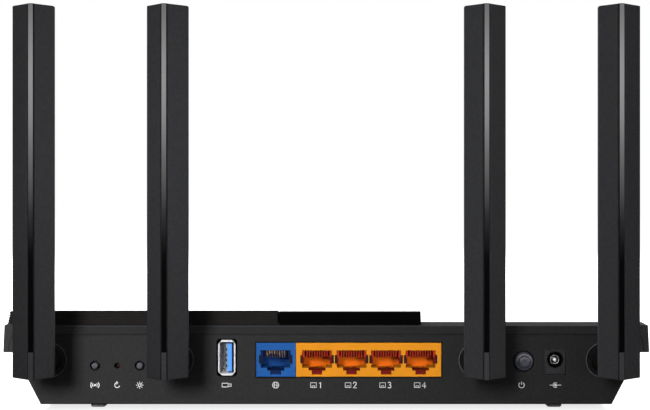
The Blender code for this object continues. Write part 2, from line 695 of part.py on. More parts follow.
def main():
    for old in list(bpy.data.objects):
        bpy.data.objects.remove(old, do_unlink=True)
    materials = make_materials()
    case = add_empty("case_frame", (0.0, WALL_Y, FOOT_HEIGHT))
    make_bottom_housing(case, materials["case"])
    make_rear_panel(case, materials["case"])
    make_top_cover(case, materials["case"])
    make_ribbed_deck(case, materials["deck"])
    make_gloss_panel(case, materials["gloss"], materials["lens"])
    make_feet(case, materials["rubber"])
    make_screws(case, materials["steel"])
    make_board(case, materials)
    make_network_jacks(case, materials)
    make_usb_socket(case, materials)
    make_power_socket(case, materials)
    make_switches(case, materials)
    make_buttons(case, materials)
    make_leads(case, materials["lead"])
    for number, x in enumerate(ANTENNA_X, 1):
        make_antenna(number, x, case, materials)


main()
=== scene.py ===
"""Looks of a desktop wireless router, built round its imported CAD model.

Everything is drawn in the case's own frame, (x, d, h) in millimetres, as in the CAD source: d is
the distance in front of the connector wall and h the height above the case's underside. The
connector wall faces -Y and +X is to the right for someone who looks at it.
"""

import math

import bmesh
import bpy
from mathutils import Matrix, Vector
from mathutils.geometry import tessellate_polygon


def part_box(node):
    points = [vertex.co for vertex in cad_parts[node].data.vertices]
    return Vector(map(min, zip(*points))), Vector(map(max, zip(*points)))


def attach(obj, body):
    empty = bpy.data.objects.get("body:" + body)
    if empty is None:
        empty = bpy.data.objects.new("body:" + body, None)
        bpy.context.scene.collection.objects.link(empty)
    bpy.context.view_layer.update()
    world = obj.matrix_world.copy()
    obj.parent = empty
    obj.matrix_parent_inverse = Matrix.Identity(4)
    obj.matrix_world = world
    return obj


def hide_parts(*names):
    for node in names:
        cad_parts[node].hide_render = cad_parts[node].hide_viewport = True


MM = 0.001
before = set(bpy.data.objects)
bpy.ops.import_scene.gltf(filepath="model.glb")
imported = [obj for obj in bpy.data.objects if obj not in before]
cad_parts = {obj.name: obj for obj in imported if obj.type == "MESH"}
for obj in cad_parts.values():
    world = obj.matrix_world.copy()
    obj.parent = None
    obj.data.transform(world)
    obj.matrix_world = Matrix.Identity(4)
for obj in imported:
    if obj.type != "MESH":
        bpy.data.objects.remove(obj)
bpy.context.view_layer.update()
WALL_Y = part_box("rear_panel")[0][1] / MM
UNDERSIDE = -0.3
BASE_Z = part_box("bottom_housing")[0][2] / MM - UNDERSIDE
PANEL_THICKNESS = (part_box("rear_panel")[1][1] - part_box("rear_panel")[0][1]) / MM

# Places taken over from the CAD model
ANTENNA_X = (-112.15, -60.75, 60.75, 112.15)
STRIP_X = (-112.37, -61.73, 61.0, 112.33)
PIVOT_HEIGHT = 17.5
CONTROL_HEIGHT = 15.2
PAIRING_X, RESET_X, LIGHTS_X = -93.5, -84.5, -75.4
USB_X, USB_HEIGHT = -40.2, 18.4
WAN_PORT_X = -20.45
PORT_PITCH = 13.97
LAN_PORTS_X = tuple(-3.7 + PORT_PITCH * i for i in range(4))
SOCKET_ROW_OPENING = (-28.5, 10.4, 46.7, 24.75)
INLET_OPENING = (88.05, 11.3, 97.1, 22.0)
POWER_X, POWER_HEIGHT = 79.8, 17.0
DC_HOLE_X, DC_HOLE_HEIGHT, DC_HOLE_RADIUS = 92.65, 17.5, 3.25
LABEL_HEIGHT = 7.4
TOP_SLOPE = 0.1228
CREST_DISTANCE, CREST_HEIGHT = 8.0, 32.05
BEVEL_FOOT_HEIGHT = 28.0
DECK_TOP, DECK_SLOPE = 36.85, 0.15
DECK_LEFT, DECK_RIGHT, DECK_REAR, DECK_FRONT = -130.35, -19.65, 4.4, 128.0
ANTENNA_BOTTOM, ANTENNA_TOP = -3.4, 138.9
LOWER_STRIP_TOP, GLOSS_STRIP_BOTTOM = 6.66, 6.72

# Details that only this file has
CONTACT_PITCH, CONTACT_COUNT = 1.02, 8
RIDGE_RISE = 0.5
RIDGE_START = -21.9
STRIP_FRONT, STRIP_BACK, STRIP_HALF_WIDTH = -24.3, -23.2, 0.95

# Camera
CAMERA_DISTANCE = 400.0
CAMERA_X = -0.5
CAMERA_HEIGHT = 80.2
FOCAL_LENGTH = 54.8

# Brightness of the world, and power of the lights in watts
BAND_STRENGTH = 7.0
SKY_STRENGTH = 0.45
FILL_STRENGTH = 0.08
FLOOR_GLOW = 0.8
WALL_LIGHT = 0.43
SOCKET_LIGHT = 0.25
LEFT_ANTENNA_LIGHT = 0.32
RIGHT_ANTENNA_LIGHT = 1.024
FAR_LIGHT = 18.0


# ---------------------------------------------------------------------------------- shapes

def circle(radius, sides, centre=(0.0, 0.0), clockwise=False):
    """A circle's corners, drawn flat."""
    turn = 2 * math.pi / sides * (-1 if clockwise else 1)
    return [(centre[0] + radius * math.cos(i * turn), centre[1] + radius * math.sin(i * turn))
            for i in range(sides)]


def rounded_rectangle(half_width, half_height, radius, centre=(0.0, 0.0), steps=6,
                      clockwise=False):
    """A rectangle's outline with round corners."""
    points = []
    for quarter, (sx, sy) in enumerate(((1, 1), (-1, 1), (-1, -1), (1, -1))):
        for step in range(steps + 1):
            angle = math.pi / 2 * (quarter + step / steps)
            points.append((centre[0] + sx * (half_width - radius) + radius * math.cos(angle),
                           centre[1] + sy * (half_height - radius) + radius * math.sin(angle)))
    return points[::-1] if clockwise else points


def rectangle(left, bottom, right, top):
    """A rectangle's corners, counter-clockwise as an outline needs them."""
    return [(left, bottom), (right, bottom), (right, top), (left, top)]


def clockwise_rectangle(left, bottom, right, top):
    """A rectangle's corners, clockwise as a hole needs them."""
    return [(left, bottom), (left, top), (right, top), (right, bottom)]


def inset(loop, distance):
    """A loop moved to its left by a distance, with mitred corners."""
    moved = []
    count = len(loop)
    for i in range(count):
        before, here, after = loop[i - 1], loop[i], loop[(i + 1) % count]
        normals = []
        for a, b in ((before, here), (here, after)):
            length = math.hypot(b[0] - a[0], b[1] - a[1])
            normals.append(((a[1] - b[1]) / length, (b[0] - a[0]) / length))
        (ax, ay), (bx, by) = normals
        reach = distance / (1 + ax * bx + ay * by)
        moved.append((here[0] + (ax + bx) * reach, here[1] + (ay + by) * reach))
    return moved


def loft(rings, caps=True):
    """Rings of equal point count, joined in order, with a cap at each end."""
    count = len(rings[0])
    points = [point for ring in rings for point in ring]
    faces = []
    if caps:
        faces = [tuple(range(count)), tuple(range(len(points) - count, len(points)))]
    for start in range(0, len(points) - count, count):
        for i in range(count):
            j = (i + 1) % count
            faces.append((start + i, start + j, start + count + j, start + count + i))
    return points, faces


def along(axis, point, distance):
    """A flat point lifted along an axis, as (x, d, h)."""
    point = list(point)
    point.insert("XYZ".index(axis), distance)
    return tuple(point)


def prism(outline, axis, low, high):
    """An outline drawn out along an axis."""
    return loft([[along(axis, point, place) for point in outline] for place in (low, high)])


def turned(profile, axis, centre=(0.0, 0.0), sides=48):
    """A solid of revolution from (radius, place along the axis)."""
    return loft([[along(axis, point, place) for point in circle(radius, sides, centre)]
                 for radius, place in profile])


def box(low, high):
    """A block between two opposite corners."""
    return prism(rectangle(low[0], low[1], high[0], high[1]), "Z", low[2], high[2])


def ring_band(profile, axis, centre=(0.0, 0.0), sides=48):
    """A ring turned from a closed profile of (radius, place along the axis)."""
    rings = [[along(axis, point, place) for point in circle(radius, sides, centre)]
             for radius, place in [*profile, profile[0]]]
    return loft(rings, caps=False)


def cut_rectangle(half_width, half_height, flat_width, flat_height, centre=(0.0, 0.0)):
    """A rectangle with cut corners, given by the half lengths of its straight sides too."""
    quarter = [(half_width, flat_height), (flat_width, half_height)]
    half = quarter + [(-x, h) for x, h in reversed(quarter)]
    points = half + [(-x, -h) for x, h in half]
    return [(centre[0] + x, centre[1] + h) for x, h in points]


def together(shapes):
    """Several shapes as one."""
    points, faces = [], []
    for shape_points, shape_faces in shapes:
        start = len(points)
        points += shape_points
        faces += [tuple(start + i for i in face) for face in shape_faces]
    return points, faces


def tube(route, radius, sides=8):
    """A round tube along points, for wires and fine trim."""
    rings = []
    for i, here in enumerate(route):
        before = Vector(route[max(i - 1, 0)])
        after = Vector(route[min(i + 1, len(route) - 1)])
        heading = (after - before).normalized()
        side = heading.cross(Vector((0.0, 0.0, 1.0)))
        if side.length < 0.01:
            side = heading.cross(Vector((1.0, 0.0, 0.0)))
        side.normalize()
        rise = side.cross(heading)
        rings.append([tuple(Vector(here) + side * a + rise * b)
                      for a, b in circle(radius, sides)])
    return loft(rings)


def plate(outer, holes, front, back, rim, steps=3):
    """A plate with rounded front rims. Holes are (clockwise loop, depth or None if through)."""
    loops = [(outer, None)] + list(holes)
    points, faces = [], []
    front_rings, back_rings = [], []

    def cap(rings):
        flat = [index for ring in rings for index in ring]
        polygons = [[Vector((points[i][0], points[i][2], 0.0)) for i in ring] for ring in rings]
        for triangle in tessellate_polygon(polygons):
            faces.append(tuple(flat[i] for i in triangle))

    for loop, depth in loops:
        stations = []
        for step in range(steps + 1):
            angle = math.pi / 2 * step / steps
            stations.append((rim * (1 - math.sin(angle)), front + rim * (1 - math.cos(angle))))
        stations.append((0.0, back if depth is None else depth))
        rings = []
        for distance, place in stations:
            start = len(points)
            points += [(x, place, h) for x, h in inset(loop, distance)]
            rings.append(list(range(start, len(points))))
        for first, second in zip(rings, rings[1:]):
            for i in range(len(first)):
                j = (i + 1) % len(first)
                faces.append((first[i], first[j], second[j], second[i]))
        front_rings.append(rings[0])
        if depth is None:
            back_rings.append(rings[-1])
        else:
            cap([rings[-1]])
    cap(front_rings)
    cap(back_rings)
    return points, faces


def frame_plate(outer, inner, front, back, rim):
    """A flat frame between two rectangles of (left, bottom, right, top)."""
    opening = clockwise_rectangle(*inner)
    return plate(rectangle(*outer), [(opening, None)], front, back, rim)


# --------------------------------------------------------------------------------- objects

def in_scene(x, d, h):
    """A point of the case's frame in the scene's metres."""
    return (x * MM, (d + WALL_Y) * MM, (h + BASE_Z) * MM)


def new_mesh(name, shape, bevel=0.0, segments=3):
    """A mesh with its faces turned outward, and its sharp edges bevelled if asked for."""
    points, faces = shape
    mesh = bpy.data.meshes.new(name)
    mesh.from_pydata([in_scene(*point) for point in points], [], faces)
    work = bmesh.new()
    work.from_mesh(mesh)
    bmesh.ops.remove_doubles(work, verts=work.verts, dist=1e-7)
    bmesh.ops.recalc_face_normals(work, faces=work.faces)
    if bevel:
        sharp = [edge for edge in work.edges
                 if len(edge.link_faces) == 2 and edge.calc_face_angle(0.0) > math.radians(36)]
        bmesh.ops.bevel(work, geom=sharp, offset=bevel * MM, segments=segments, profile=0.5,
                        affect="EDGES", clamp_overlap=True)
    work.to_mesh(mesh)
    work.free()
    return mesh


def add_piece(name, shape, material, body="case", replaces=(), bevel=0.0,
              segments=3, smooth=38.0):
    """A mesh piece in the case's frame, riding on a body."""
    mesh = new_mesh(name, shape, bevel, segments)
    mesh.shade_smooth()
    mesh.set_sharp_from_angle(angle=math.radians(smooth))
    piece = bpy.data.objects.new(name, mesh)
    bpy.context.scene.collection.objects.link(piece)
    mesh.materials.append(material)
    flat = piece.modifiers.new("flat_faces", "WEIGHTED_NORMAL")
    flat.keep_sharp = True
    flat.weight = 100
    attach(piece, body)
    if replaces:
        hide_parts(*replaces)
    return piece


def cut_away(piece, shape):
    """Cuts a closed shape out of a piece's own mesh."""
    cutter = bpy.data.objects.new("cutter", new_mesh("cutter", shape))
    bpy.context.scene.collection.objects.link(cutter)
    cut = piece.modifiers.new("cut", "BOOLEAN")
    cut.operation = "DIFFERENCE"
    cut.solver = "EXACT"
    cut.object = cutter
    piece.modifiers.move(len(piece.modifiers) - 1, 0)
    graph = bpy.context.evaluated_depsgraph_get()
    finished = bpy.data.meshes.new_from_object(piece.evaluated_get(graph))
    piece.modifiers.clear()
    piece.data = finished
    bpy.data.objects.remove(cutter)


def paint(node, material):
    """A new material on a CAD node that stays as it is."""
    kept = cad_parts[node]
    if not kept.material_slots:
        kept.data.materials.append(material)
    for place in kept.material_slots:
        place.material = material


# ------------------------------------------------------------------------------- materials

class Shader:
    """A Principled material with a few helpers for its procedural detail."""

    def __init__(self, name, colour, roughness, metallic=0.0, specular=0.5):
        self.material = bpy.data.materials.new(name)
        self.material.use_nodes = True
        self.tree = self.material.node_tree
        self.shader = self.tree.nodes["Principled BSDF"]
        self.colour = colour
        self.shader.inputs["Base Color"].default_value = (*colour, 1.0)
        self.shader.inputs["Roughness"].default_value = roughness
        self.shader.inputs["Metallic"].default_value = metallic
        self.shader.inputs["Specular IOR Level"].default_value = specular
        self.roughness = roughness
        self.place = self.tree.nodes.new("ShaderNodeTexCoord").outputs["Object"]

    def node(self, kind, **values):
        made = self.tree.nodes.new(kind)
        for key, value in values.items():
            made.inputs[key].default_value = value
        return made

    def link(self, source, target):
        self.tree.links.new(source, target)

    def noise(self, scale, detail=2.0, stretch=(1.0, 1.0, 1.0)):
        mapping = self.node("ShaderNodeMapping", Scale=stretch)
        self.link(self.place, mapping.inputs["Vector"])
        noise = self.node("ShaderNodeTexNoise", Scale=scale, Detail=detail)
        self.link(mapping.outputs["Vector"], noise.inputs["Vector"])
        return noise.outputs["Fac"]

    def ranged(self, value, low, high):
        limits = {"From Min": 0.3, "From Max": 0.7, "To Min": low, "To Max": high}
        spread = self.node("ShaderNodeMapRange", **limits)
        self.link(value, spread.inputs["Value"])
        return spread.outputs["Result"]

    def vary_colour(self, scale, amount, stretch=(1.0, 1.0, 1.0)):
        ramp = self.node("ShaderNodeValToRGB")
        ramp.color_ramp.elements[0].position = 0.3
        ramp.color_ramp.elements[1].position = 0.7
        for element, factor in zip(ramp.color_ramp.elements, (1 - amount, 1 + amount)):
            element.color = (*(min(c * factor, 1.0) for c in self.colour), 1.0)
        self.link(self.noise(scale, 3.0, stretch), ramp.inputs["Fac"])
        self.link(ramp.outputs["Color"], self.shader.inputs["Base Color"])

    def vary_roughness(self, scale, amount, stretch=(1.0, 1.0, 1.0)):
        low = max(self.roughness - amount, 0.02)
        high = min(self.roughness + amount, 1.0)
        self.link(self.ranged(self.noise(scale, 3.0, stretch), low, high),
                  self.shader.inputs["Roughness"])

    def grain(self, scale, depth_mm, strength=0.5, stretch=(1.0, 1.0, 1.0), detail=2.0):
        bump = self.node("ShaderNodeBump", Strength=strength, Distance=depth_mm * MM)
        self.link(self.noise(scale, detail, stretch), bump.inputs["Height"])
        self.link(bump.outputs["Normal"], self.shader.inputs["Normal"])


def grained_plastic(name, colour, roughness, specular=0.3, grain=2600.0, depth=0.03):
    """Matte plastic with a fine spark-eroded grain, whose depth is in millimetres."""
    made = Shader(name, colour, roughness, specular=specular)
    made.vary_colour(900.0, 0.12)
    made.vary_roughness(300.0, 0.05)
    made.grain(grain, depth, 0.45)
    return made.material


def moulded_plastic(name, colour, roughness, specular=0.5):
    """Smooth plastic as small mouldings have it."""
    made = Shader(name, colour, roughness, specular=specular)
    made.vary_colour(120.0, 0.05)
    made.vary_roughness(220.0, 0.05)
    made.grain(500.0, 0.01, 0.3)
    return made.material


def polished_plastic(name, colour, roughness):
    """Mirror-like plastic with a slight waviness."""
    made = Shader(name, colour, roughness, specular=0.5)
    made.vary_colour(60.0, 0.1)
    made.vary_roughness(700.0, 0.02, (1.0, 1.0, 0.2))
    made.grain(25.0, 0.02, 0.03)
    return made.material


def metal(name, colour, roughness, stretch=(1.0, 1.0, 1.0)):
    made = Shader(name, colour, roughness, metallic=1.0)
    made.vary_colour(400.0, 0.06, stretch)
    made.vary_roughness(900.0, 0.08, stretch)
    made.grain(1500.0, 0.01, 0.3, stretch)
    return made.material


def satin_metal(name, colour, roughness, metallic):
    """A plated surface that scatters part of the light, as a worn or brushed one does."""
    made = Shader(name, colour, roughness, metallic=metallic)
    made.vary_colour(300.0, 0.05)
    made.vary_roughness(500.0, 0.06)
    made.grain(900.0, 0.004, 0.2)
    return made.material


def rubber(name, colour):
    made = Shader(name, colour, 0.85, specular=0.3)
    made.vary_colour(300.0, 0.2)
    made.grain(1800.0, 0.05, 0.6)
    return made.material


def circuit_board(name, colour):
    made = Shader(name, colour, 0.45)
    made.vary_colour(180.0, 0.25, (1.0, 4.0, 1.0))
    made.grain(700.0, 0.03, 0.5)
    return made.material


MATERIALS = {
    "case": grained_plastic("charcoal_case", (0.0262, 0.0262, 0.0262), 0.62, 0.07),
    "cover": grained_plastic("charcoal_cover", (0.0262, 0.0262, 0.0262), 0.56, 0.3),
    "deck_top": grained_plastic("black_deck_top", (0.0132, 0.0122, 0.0116), 0.5, 0.35),
    "deck": grained_plastic("black_deck", (0.0152, 0.0140, 0.0132), 0.66, 0.06),
    "blade": grained_plastic("charcoal_antenna", (0.0262, 0.0265, 0.0282), 0.6, 0.08),
    "base": grained_plastic("antenna_base_grey", (0.036, 0.0365, 0.041), 0.55, 0.1),
    # A lighter grey for the swivel holes' lips, a painted highlight along their lit edge.
    "lip": grained_plastic("worn_edge_grey", (0.115, 0.115, 0.120), 0.5, 0.1),
    "swivel": grained_plastic("swivel_black", (0.0075, 0.0070, 0.0068), 0.6, 0.2),
    "button": grained_plastic("button_grey", (0.060, 0.061, 0.078), 0.3, 0.55, 3200.0, 0.015),
    "small_button": grained_plastic("small_button_grey", (0.078, 0.078, 0.090), 0.42, 0.3,
                                    3200.0, 0.015),
    "gloss": polished_plastic("polished_black", (0.0024, 0.0024, 0.0024), 0.06),
    "orange": moulded_plastic("moulded_orange", (0.53, 0.198, 0.011), 0.42, 0.15),
    "blue": moulded_plastic("moulded_blue", (0.0125, 0.0705, 0.243), 0.40, 0.15),
    # Deeper, darker copies of the socket plastic for each cavity's back: painted shade.
    "deep_orange": moulded_plastic("deep_orange", (0.62, 0.115, 0.006), 0.5, 0.15),
    "deep_blue": moulded_plastic("deep_blue", (0.007, 0.036, 0.15), 0.5, 0.15),
    "usb_blue": moulded_plastic("tongue_blue", (0.10, 0.34, 0.95), 0.34),
    # Black moulding for the switches, and also painted shade and painted shadow wherever black
    # pieces stand for dark gaps, recesses and grooves.
    "jack_black": moulded_plastic("moulded_black", (0.004, 0.004, 0.004), 0.5, 0.2),
    "inlet": grained_plastic("inlet_grey", (0.020, 0.020, 0.0225), 0.5, 0.3),
    # Dark copies of the socket plastic, painted shade inside each socket.
    "comb_orange": moulded_plastic("shaded_orange", (0.115, 0.007, 0.006), 0.6, 0.15),
    "comb_blue": moulded_plastic("shaded_blue", (0.004, 0.012, 0.05), 0.6, 0.15),
    # Darker copies of the socket plastic for the comb's teeth: painted shade.
    "tooth_orange": moulded_plastic("tooth_orange", (0.30, 0.022, 0.008), 0.6, 0.15),
    "tooth_blue": moulded_plastic("tooth_blue", (0.004, 0.010, 0.045), 0.6, 0.15),
    # Nearly black contacts for the orange sockets: painted shade on gold wires.
    "shade_dark_contact": satin_metal("shaded_contact", (0.03, 0.010, 0.006), 0.4, 0.3),
    "gold": satin_metal("contact_gold", (0.55, 0.34, 0.09), 0.35, 0.3),
    "rim": satin_metal("satin_nickel", (0.93, 0.93, 0.94), 0.3, 0.35),
    "steel": metal("plated_steel", (0.78, 0.78, 0.79), 0.24),
    "tin": satin_metal("tinned_steel", (0.42, 0.42, 0.40), 0.4, 0.5),
    "aluminium": metal("extruded_aluminium", (0.76, 0.76, 0.78), 0.34, (1.0, 0.05, 1.0)),
    "rubber": rubber("foot_rubber", (0.20, 0.20, 0.20)),
    "board": circuit_board("green_board", (0.014, 0.09, 0.035)),
    "lens": moulded_plastic("smoked_lens", (0.05, 0.055, 0.06), 0.18),
    "white": moulded_plastic("white_print", (0.80, 0.80, 0.80), 0.5),
    "plunger": moulded_plastic("plunger_brown", (0.035, 0.010, 0.010), 0.5, 0.2),
    "lead": moulded_plastic("lead_jacket", (0.012, 0.012, 0.012), 0.45),
}


# ------------------------------------------------------------------------ the connector wall

def port_loop(centre_x, clockwise=True):
    """A modular jack's mouth with its latch steps and side reliefs."""
    right = [(6.0, 21.35), (6.0, 19.45), (6.75, 19.45), (6.75, 16.05), (6.0, 16.05), (6.0, 14.35),
             (3.45, 14.35), (3.45, 13.2), (2.1, 13.2), (2.1, 11.6)]
    left = [(-x, h) for x, h in reversed(right)]
    loop = [(centre_x + x, h) for x, h in right + left]
    return loop if clockwise else loop[::-1]


def make_rear_panel():
    """The connector wall with all its openings, and the fine lines and rims on its face: the
    swivel hole lips in a lighter grey as painted highlight, and a black frame round the socket
    row as painted shadow.
    """
    wide, seam, top, slant = 126.4, 20.65, 27.3, 0.522
    narrow = wide - slant * (seam - UNDERSIDE)
    outline = [(narrow, UNDERSIDE), (wide, seam), (wide, top), (-wide, top), (-wide, seam),
               (-narrow, UNDERSIDE)]
    round_holes = [(6.9, 64, x, PIVOT_HEIGHT) for x in ANTENNA_X]
    round_holes += [(2.0, 32, x, CONTROL_HEIGHT) for x in (PAIRING_X, LIGHTS_X)]
    round_holes += [(1.2, 24, RESET_X, CONTROL_HEIGHT), (4.3, 48, POWER_X, POWER_HEIGHT)]
    loops = [circle(radius, sides, (x, h), True) for radius, sides, x, h in round_holes]
    loops.append(rounded_rectangle(4.15, 7.7, 1.6, (USB_X, USB_HEIGHT), clockwise=True))
    loops.append(clockwise_rectangle(*SOCKET_ROW_OPENING))
    loops.append(clockwise_rectangle(*INLET_OPENING))
    holes = [(loop, None) for loop in loops]
    add_piece("rear_panel_skin", plate(outline, holes, 0.0, PANEL_THICKNESS, 0.22),
              MATERIALS["case"], replaces=["rear_panel"], smooth=30.0)
    seam_filler = box((-126.0, 0.3, top - 0.2), (126.0, 1.2, BEVEL_FOOT_HEIGHT - 0.1))
    add_piece("cover_seam_filler", seam_filler, MATERIALS["case"])
    seam_line = box((-125.9, -0.02, 27.75), (125.9, 0.3, 28.12))
    add_piece("cover_seam_line", seam_line, MATERIALS["deck"])
    # Raised lips round the swivel holes, in the lighter grey of painted highlight.
    lip = [(6.88, 0.3), (6.88, -0.06), (6.98, -0.16), (7.14, -0.16), (7.24, -0.04), (7.24, 0.3)]
    for number, x in enumerate(ANTENNA_X, 1):
        add_piece("swivel_hole_lip_%d" % number, ring_band(lip, "Y", (x, PIVOT_HEIGHT), 64),
                  MATERIALS["lip"])
    inlet_frame = frame_plate((88.02, 11.27, 97.13, 22.03), (88.3, 11.55, 96.85, 21.75),
                              -0.08, 0.25, 0.05)
    add_piece("dc_socket_frame", inlet_frame, MATERIALS["base"])
    # A thin black frame just proud of the wall round the socket row: a painted shadow round the
    # jacks.
    row_shadow = frame_plate((-28.85, 10.1, 47.08, 25.12), (-28.42, 10.48, 46.62, 24.67),
                            -0.03, 0.25, 0.02)
    add_piece("socket_row_frame", row_shadow, MATERIALS["jack_black"])
    # A near-black strip along the wall's bottom edge.
    foot_dark_line = box((0.3 - narrow, -0.03, UNDERSIDE), (narrow - 0.3, 0.3, UNDERSIDE + 0.38))
    add_piece("tray_seam_line", foot_dark_line, MATERIALS["jack_black"])


def make_contacts(name, centre_x, material):
    """Eight sprung wires that hang from the mouth's top edge and run back into the socket."""
    wires = []
    for number in range(CONTACT_COUNT):
        x = centre_x + (number - (CONTACT_COUNT - 1) / 2) * CONTACT_PITCH
        route = [(x, 1.6, 21.2), (x, 1.9, 19.6), (x, 2.6, 18.6), (x, 4.2, 18.0), (x, 8.0, 18.6),
                 (x, 11.0, 19.8)]
        wires.append(tube(route, 0.22, 6))
    add_piece(name, together(wires), MATERIALS[material])


def make_comb(name, centre_x, material):
    """The comb behind the contact wires: a black ledge as painted shade between the teeth, with a
    tooth between each two wires.
    """
    # Black behind the teeth: painted shade in the spaces between them.
    ledge = box((centre_x - 5.9, 4.2, 18.5), (centre_x + 5.9, 11.4, 21.3))
    add_piece(name + "_ledge", ledge, MATERIALS["jack_black"])
    teeth = []
    for number in range(CONTACT_COUNT + 1):
        x = centre_x + (number - CONTACT_COUNT / 2) * CONTACT_PITCH
        teeth.append(box((x - 0.2, 1.1, 18.6), (x + 0.2, 4.3, 21.3)))
    for side in (-1, 1):
        x = centre_x + side * 5.45
        teeth.append(box((x - 0.4, 0.8, 18.5), (x + 0.4, 4.3, 21.3)))
    add_piece(name, together(teeth), material)


def make_socket_details(name, centre_x, tone, contacts):
    """Contacts, comb, and dark pieces as painted shade: in the reliefs beside the plug, on the
    cavity's floor, at the lower slot's back, and a darker copy of the plastic on the cavity's
    back.
    """
    comb = MATERIALS["comb_" + tone]
    make_contacts(name + "_contacts", centre_x, contacts)
    # The teeth take a darker copy of the socket plastic, as painted shade.
    make_comb(name + "_comb", centre_x, MATERIALS["tooth_" + tone])
    # Dark pieces in the reliefs beside the plug, on the latch floor and at the lower slot's back:
    # painted shade.
    outer, inner = [], []
    for side in (-1, 1):
        edges = sorted((centre_x + side * 5.3, centre_x + side * 6.02))
        inner.append(box((edges[0], 1.0, 16.0), (edges[1], 6.0, 19.2)))
        edges = sorted((centre_x + side * 6.02, centre_x + side * 6.9))
        outer.append(box((edges[0], 0.45, 16.0), (edges[1], 6.0, 19.5)))
    floor = box((centre_x - 3.4, 0.7, 13.15), (centre_x + 3.4, 6.6, 13.3))
    slot_back = box((centre_x - 2.1, 1.2, 11.6), (centre_x + 2.1, 1.6, 13.25))
    add_piece(name + "_shade", together(inner + [floor, slot_back]), comb)
    add_piece(name + "_relief", together(outer), MATERIALS["jack_black"])
    # The cavity's back in a darker copy of the socket plastic: painted shade.
    back = box((centre_x - 5.98, 9.0, 13.3), (centre_x + 5.98, 11.9, 18.6))
    add_piece(name + "_back", back, MATERIALS["deep_" + tone], bevel=0.4)


def make_network_jacks():
    """The single jack and the row of four, each block with its sockets' details."""
    bottom, top = 10.7, 24.45

    def jack(name, left, right, ports, material, replaced):
        outline = rectangle(left, bottom, right, top)
        holes = [(port_loop(x), 12.0) for x in ports]
        add_piece(name, plate(outline, holes, 0.2, 16.0, 0.18), MATERIALS[material],
                  replaces=[replaced], smooth=30.0)

    jack("wan_socket_body", -28.35, -12.35, [WAN_PORT_X], "blue", "wan_jack")
    jack("lan_socket_body", -12.25, 46.55, LAN_PORTS_X, "orange",
         "lan_jack_block")
    make_socket_details("wan_socket", WAN_PORT_X, "blue", "gold")
    for number, x in enumerate(LAN_PORTS_X, 1):
        # The orange sockets' contacts take a nearly black colour, as painted shade.
        make_socket_details("lan_socket_%d" % number, x, "orange", "shade_dark_contact")


def make_usb_socket():
    """A shell with four flared lips and cut corners, and a tongue with its row of contacts."""
    def ring(d, *lengths):
        return [(x, d, h) for x, h in cut_rectangle(*lengths, (USB_X, USB_HEIGHT))]

    outer = [ring(13.8, 3.05, 6.75, 2.45, 6.15), ring(1.7, 3.05, 6.75, 2.4, 6.1),
             ring(0.9, 3.35, 7.05, 2.1, 5.75), ring(0.35, 3.57, 7.25, 2.05, 5.65)]
    mouth = [ring(0.1, 3.42, 7.1, 2.0, 5.6), ring(0.1, 3.0, 6.48, 2.4, 5.9),
             ring(0.5, 2.78, 6.25, 2.52, 5.97), ring(13.3, 2.7, 6.2, 2.5, 5.95)]
    add_piece("usb_socket_shell", loft(outer + mouth), MATERIALS["rim"],
              replaces=["usb_shell"], smooth=50.0)
    low, high = USB_HEIGHT - 5.6, USB_HEIGHT + 5.6
    tongue = box((USB_X + 0.1, 1.2, low), (USB_X + 1.95, 12.0, high))
    add_piece("usb_socket_tongue", tongue, MATERIALS["usb_blue"],
              replaces=["usb_tongue"], bevel=0.15)
    back = box((USB_X - 2.6, 11.9, low - 0.5), (USB_X + 2.6, 13.2, high + 0.5))
    add_piece("usb_socket_back", back, MATERIALS["tin"])
    dark = box((USB_X + 2.0, 1.4, low - 0.3), (USB_X + 2.65, 12.0, high + 0.3))
    dark_top = box((USB_X - 2.6, 1.4, high + 0.02), (USB_X + 2.6, 12.0, high + 0.7))
    add_piece("usb_socket_shade", together([dark, dark_top]), MATERIALS["jack_black"])
    edge = box((USB_X - 0.4, 1.5, low + 0.1), (USB_X + 0.12, 9.4, high - 0.1))
    add_piece("usb_socket_contacts", edge, MATERIALS["tin"], bevel=0.1)
    # Black strips between the contacts: painted shade in the spaces between them.
    gap_shade = [box((USB_X - 0.45, 1.35, USB_HEIGHT + place - 0.42),
                (USB_X + 0.14, 9.0, USB_HEIGHT + place + 0.42))
            for place in (-3.4, -1.15, 0.95, 3.2)]
    add_piece("usb_socket_contact_gaps", together(gap_shade), MATERIALS["jack_black"])


def make_power_socket():
    """The inlet block with its round mouth, sprung sleeve and centre pin, and a black tube inside
    the mouth as painted shade.
    """
    outline = rectangle(88.35, 11.6, 96.8, 21.7)
    hole = circle(DC_HOLE_RADIUS, 48, (DC_HOLE_X, DC_HOLE_HEIGHT), True)
    add_piece("dc_socket_body", plate(outline, [(hole, 10.0)], 0.2, 13.0, 0.3),
              MATERIALS["inlet"], replaces=["dc_jack"], smooth=30.0)
    centre = (DC_HOLE_X, DC_HOLE_HEIGHT)
    # A black tube and bottom inside the mouth: painted shade in the hole.
    mouth_shade = [(3.24, 0.75), (3.24, 9.9), (3.05, 9.9), (3.1, 0.85)]
    bottom = turned([(3.1, 9.7), (3.1, 9.9)], "Y", centre)
    add_piece("dc_socket_liner", together([ring_band(mouth_shade, "Y", centre), bottom]),
              MATERIALS["jack_black"])
    pin = turned([(0.3, 0.98), (0.6, 1.12), (0.76, 1.5), (0.8, 2.0), (0.8, 9.7)], "Y", centre,
                 32)
    add_piece("dc_socket_pin", pin, MATERIALS["rim"], replaces=["dc_centre_pin"])
    sleeve = [(1.55, 2.0), (1.85, 2.0), (1.85, 9.0), (1.55, 9.0)]
    add_piece("dc_socket_sleeve", ring_band(sleeve, "Y", centre), MATERIALS["jack_black"])
    cap = [(1.56, 2.1), (1.56, 1.65), (1.7, 1.55), (1.84, 1.65), (1.84, 2.1)]
    add_piece("dc_socket_sleeve_edge", ring_band(cap, "Y", centre), MATERIALS["tin"])


